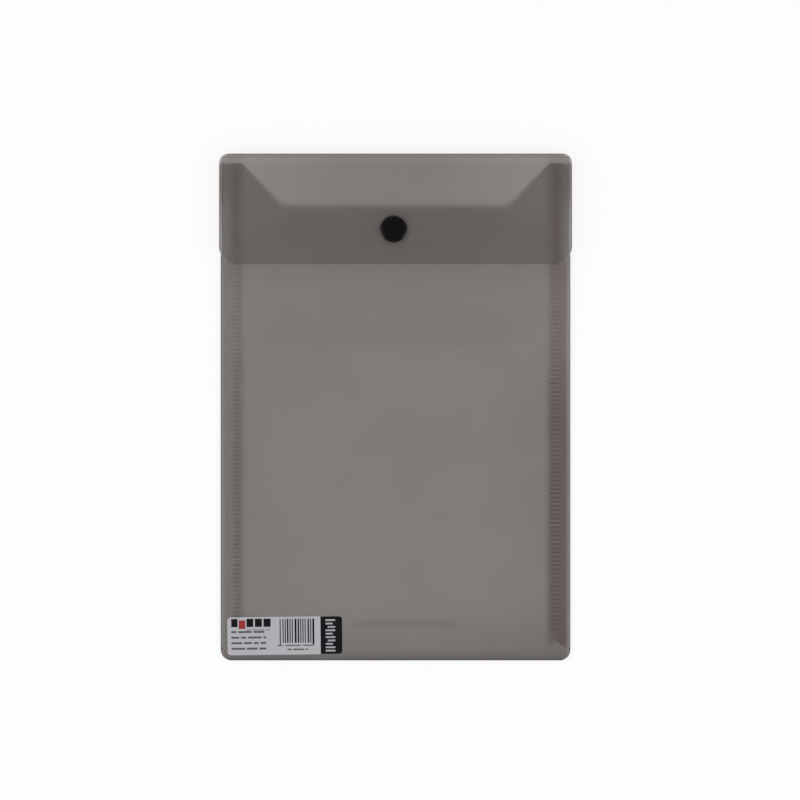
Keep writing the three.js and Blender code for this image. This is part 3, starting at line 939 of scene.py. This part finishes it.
def opaque(name, colour, roughness=0.4, specular=0.3, grain=4000.0, depth=0.000005, vary=0.06):
    """Plastic, paper or ink: a base colour that drifts by a few per cent, and a fine grain in the bump."""
    material, tree, output, place = new_material(name)
    drift = node(tree, "ShaderNodeTexNoise", Scale=grain / 6, Detail=3.0)
    fine = node(tree, "ShaderNodeTexNoise", Scale=grain, Detail=2.0)
    for texture in (drift, fine):
        tree.links.new(place.outputs["Object"], texture.inputs["Vector"])
    blend = node(tree, "ShaderNodeMix", data_type="RGBA")
    blend.inputs["A"].default_value = (*[c * (1 - vary) for c in colour], 1)
    blend.inputs["B"].default_value = (*[min(c * (1 + vary), 1) for c in colour], 1)
    tree.links.new(drift.outputs["Fac"], blend.inputs["Factor"])
    bump = node(tree, "ShaderNodeBump", Strength=0.3, Distance=depth)
    tree.links.new(fine.outputs["Fac"], bump.inputs["Height"])
    shader = node(tree, "ShaderNodeBsdfPrincipled", Roughness=roughness)
    shader.inputs["Specular IOR Level"].default_value = specular
    tree.links.new(blend.outputs["Result"], shader.inputs["Base Color"])
    tree.links.new(bump.outputs["Normal"], shader.inputs["Normal"])
    tree.links.new(shader.outputs["BSDF"], output.inputs["Surface"])
    return material


black_plastic = opaque("button_plastic", (0.0012, 0.0012, 0.001), roughness=0.2, grain=6000.0, depth=0.000004)
coated_paper = opaque("coated_paper", (0.435, 0.43, 0.454), roughness=0.5, depth=0.00001)
black_ink = opaque("black_ink", (0.008, 0.008, 0.0105), specular=0.1)
grey_ink = opaque("grey_ink", (0.10, 0.10, 0.11))
red_ink = opaque("red_ink", (0.3, 0.03, 0.03))
pale_ink = opaque("pale_ink", (0.38, 0.38, 0.40))
button.data.materials.append(black_plastic)
for name in ("snap_socket", "snap_stud", "stud_cap"):
    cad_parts[name].data.materials.clear()
    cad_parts[name].data.materials.append(black_plastic)
label_materials = (coated_paper, black_ink, grey_ink, red_ink, black_ink, pale_ink)
for piece, material in zip(label_pieces, label_materials):
    piece.data.materials.append(material)
print("opaque materials:", black_plastic.name, sorted({material.name for material in label_materials}))

# %% [markdown]
# ## Floor, light and camera
# The envelope lies on a white floor. To the camera the floor is mostly plain white and keeps a faint
# shadow, so its material mixes matt white with a glow that only the rays of the view can see.

# %% Lay the floor
scene = bpy.context.scene
floor_half = 1.5
floor_drop = 0.0001
glow_share = 0.8
floor_corners = [(x * floor_half, y * floor_half, 0) for x, y in ((-1, -1), (1, -1), (1, 1), (-1, 1))]
floor_mesh = bpy.data.meshes.new("floor")
floor_mesh.from_pydata(floor_corners, [], [(0, 1, 2, 3)])
floor = bpy.data.objects.new("floor", floor_mesh)
floor.location.z = -floor_drop
scene.collection.objects.link(floor)
floor_material, tree, output, _ = new_material("white_floor")
matt = node(tree, "ShaderNodeBsdfDiffuse")
matt.inputs["Color"].default_value = (0.97, 0.97, 0.97, 1)
glow = node(tree, "ShaderNodeEmission")
ray = node(tree, "ShaderNodeLightPath")
seen = maths(tree, "MAXIMUM", ray.outputs["Is Camera Ray"], ray.outputs["Is Glossy Ray"])
seen = maths(tree, "MAXIMUM", seen, ray.outputs["Is Transmission Ray"])
share = maths(tree, "MULTIPLY", seen, glow_share)
surface = mixed(tree, share, matt.outputs["BSDF"], glow.outputs["Emission"])
tree.links.new(surface, output.inputs["Surface"])
floor_mesh.materials.append(floor_material)
print("floor:", 2 * floor_half, "m wide")

# %% [markdown]
# The light is a plain sky, dimmer overhead where the film would mirror it, and two lamps. A lamp that is
# large beside the object gives its highlights soft edges. Film stacked on film takes many transparent
# steps for a ray, so the scene allows more of them than usual.

# %% Light the scene
world = bpy.data.worlds.new("plain_sky")
scene.world = world
world.use_nodes = True
sky = world.node_tree
background = sky.nodes["Background"]
background.inputs["Color"].default_value = (1, 1, 1, 1)
direction = node(sky, "ShaderNodeTexCoord")
parts = node(sky, "ShaderNodeSeparateXYZ")
sky.links.new(direction.outputs["Generated"], parts.inputs["Vector"])
fall = node(sky, "ShaderNodeMapRange", interpolation_type="SMOOTHSTEP")
for socket, value in (("From Min", 0.4), ("From Max", 0.95), ("To Min", 1.0), ("To Max", 0.2)):
    fall.inputs[socket].default_value = value
sky.links.new(parts.outputs["Z"], fall.inputs["Value"])
sky.links.new(fall.outputs["Result"], background.inputs["Strength"])


def soft_lamp(name, place, size, power):
    """A square area lamp that faces the middle of the envelope."""
    light = bpy.data.lights.new(name, "AREA")
    light.size = size
    light.energy = power
    lamp = bpy.data.objects.new(name, light)
    lamp.location = place
    lamp.rotation_euler = (-lamp.location).to_track_quat("-Z", "Y").to_euler()
    scene.collection.objects.link(lamp)


soft_lamp("lamp_left", (-1.2, -0.3, 1.1), size=0.9, power=8.6)
soft_lamp("lamp_right", (1.2, -0.5, 1.1), size=0.9, power=9.0)
scene.cycles.transparent_max_bounces = 32
scene.view_settings.view_transform = "Standard"
print("lamps:", [light.name for light in bpy.data.lights])

# %% [markdown]
# The camera looks straight down through a long lens from high above, so that a flat sheet shows no
# perspective. Its focal length follows from the width in view: sensor * height / width.

# %% Place the camera
frame_width = 0.38232
camera_height = 3.0
sensor_width = 36.0
view_centre = (0.00212, 0.0034)
camera_data = bpy.data.cameras.new("camera")
camera_data.sensor_width = sensor_width
camera_data.lens = sensor_width * camera_height / frame_width
camera = bpy.data.objects.new("camera", camera_data)
camera.location = (*view_centre, camera_height)
scene.collection.objects.link(camera)
scene.camera = camera
print("lens", round(camera_data.lens, 1), "mm")
